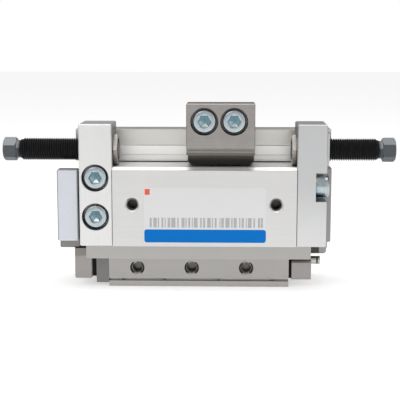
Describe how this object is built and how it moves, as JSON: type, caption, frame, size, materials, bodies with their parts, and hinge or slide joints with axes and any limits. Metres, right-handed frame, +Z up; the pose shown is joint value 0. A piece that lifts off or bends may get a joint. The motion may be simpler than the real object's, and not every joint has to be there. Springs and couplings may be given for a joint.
{
  "type": "pneumatic slide table",
  "caption": "Compact air-driven slide table: twin-rod cylinder body, ball-guided L-shaped table with end plate, screw stroke adjusters in two brackets and a stopper block.",
  "frame": {"origin": "middle of the table's lower face, under the centre line of the guide rail, with the table retracted", "axes": "+X along the stroke, away from the end plate (the table extends towards -X); +Y from the adjuster side to the table's mounting face; +Z up from the table's lower face towards the stopper"},
  "size_m": [0.1727, 0.04, 0.0828],
  "materials": {
    "body_aluminium": "clear satin anodised",
    "bracket_aluminium": "fine milled, clear anodised",
    "table_aluminium": "fine milled, clear anodised",
    "cap_aluminium": "bead blasted and anodised",
    "guide_steel": "ground",
    "stopper_steel": "ground, heat treated",
    "black_steel": "black oxide",
    "zinc_screws": "blue zinc plated",
    "small_screws": "stainless",
    "nut_steel": "nickel plated",
    "rod_steel": "hard chromed and polished",
    "bronze": "turned",
    "rubber": "matt",
    "dark_plastic": "moulded",
    "magnet": "sintered"
  },
  "bodies": {
    "cylinder": {"cylinder_body": "body_aluminium", "rod_covers": "bronze", "rod_bumpers": "rubber", "rod_seals": "rubber", "head_caps": "body_aluminium", "head_bumpers": "rubber", "head_cover": "table_aluminium", "head_cover_screws": "small_screws", "guide_rail": "guide_steel", "rail_screws": "small_screws", "rail_stop_pin": "small_screws", "rail_stop_ring": "rubber", "left_bracket": "bracket_aluminium", "left_bracket_screws": "zinc_screws", "right_bracket": "bracket_aluminium", "right_bracket_screw": "zinc_screws", "lock_nuts": "nut_steel"},
    "slide": {"table": "table_aluminium", "guide_block": "guide_steel", "guide_block_screws": "small_screws", "guide_balls": "rod_steel", "left_return_cap": "dark_plastic", "right_return_cap": "table_aluminium", "left_end_seal": "rubber", "right_end_seal": "rubber", "return_cap_screws": "small_screws", "table_end_block": "table_aluminium", "end_block_screws": "small_screws", "stopper": "stopper_steel", "stopper_screws": "zinc_screws", "end_plate": "table_aluminium", "end_plate_screws": "small_screws", "end_plate_cap": "cap_aluminium", "end_cap_pins": "small_screws", "piston_rods": "rod_steel", "pistons": "body_aluminium", "piston_seals": "rubber", "piston_magnets": "magnet", "floating_bushes": "bronze", "rod_end_screws": "small_screws"},
    "left_stop": {"left_adjuster": "black_steel", "left_adjuster_bumper": "dark_plastic"},
    "right_stop": {"right_adjuster": "black_steel", "right_adjuster_bumper": "dark_plastic"}
  },
  "joints": [
    {"name": "table_slide", "type": "slide", "parent": "cylinder", "child": "slide", "axis": [-1, 0, 0], "range_m": [0, 0.03]},
    {"name": "left_adjustment", "type": "slide", "parent": "cylinder", "child": "left_stop", "axis": [1, 0, 0], "range_m": [-0.005, 0]},
    {"name": "right_adjustment", "type": "slide", "parent": "cylinder", "child": "right_stop", "axis": [-1, 0, 0], "range_m": [-0.005, 0.015]}
  ]
}
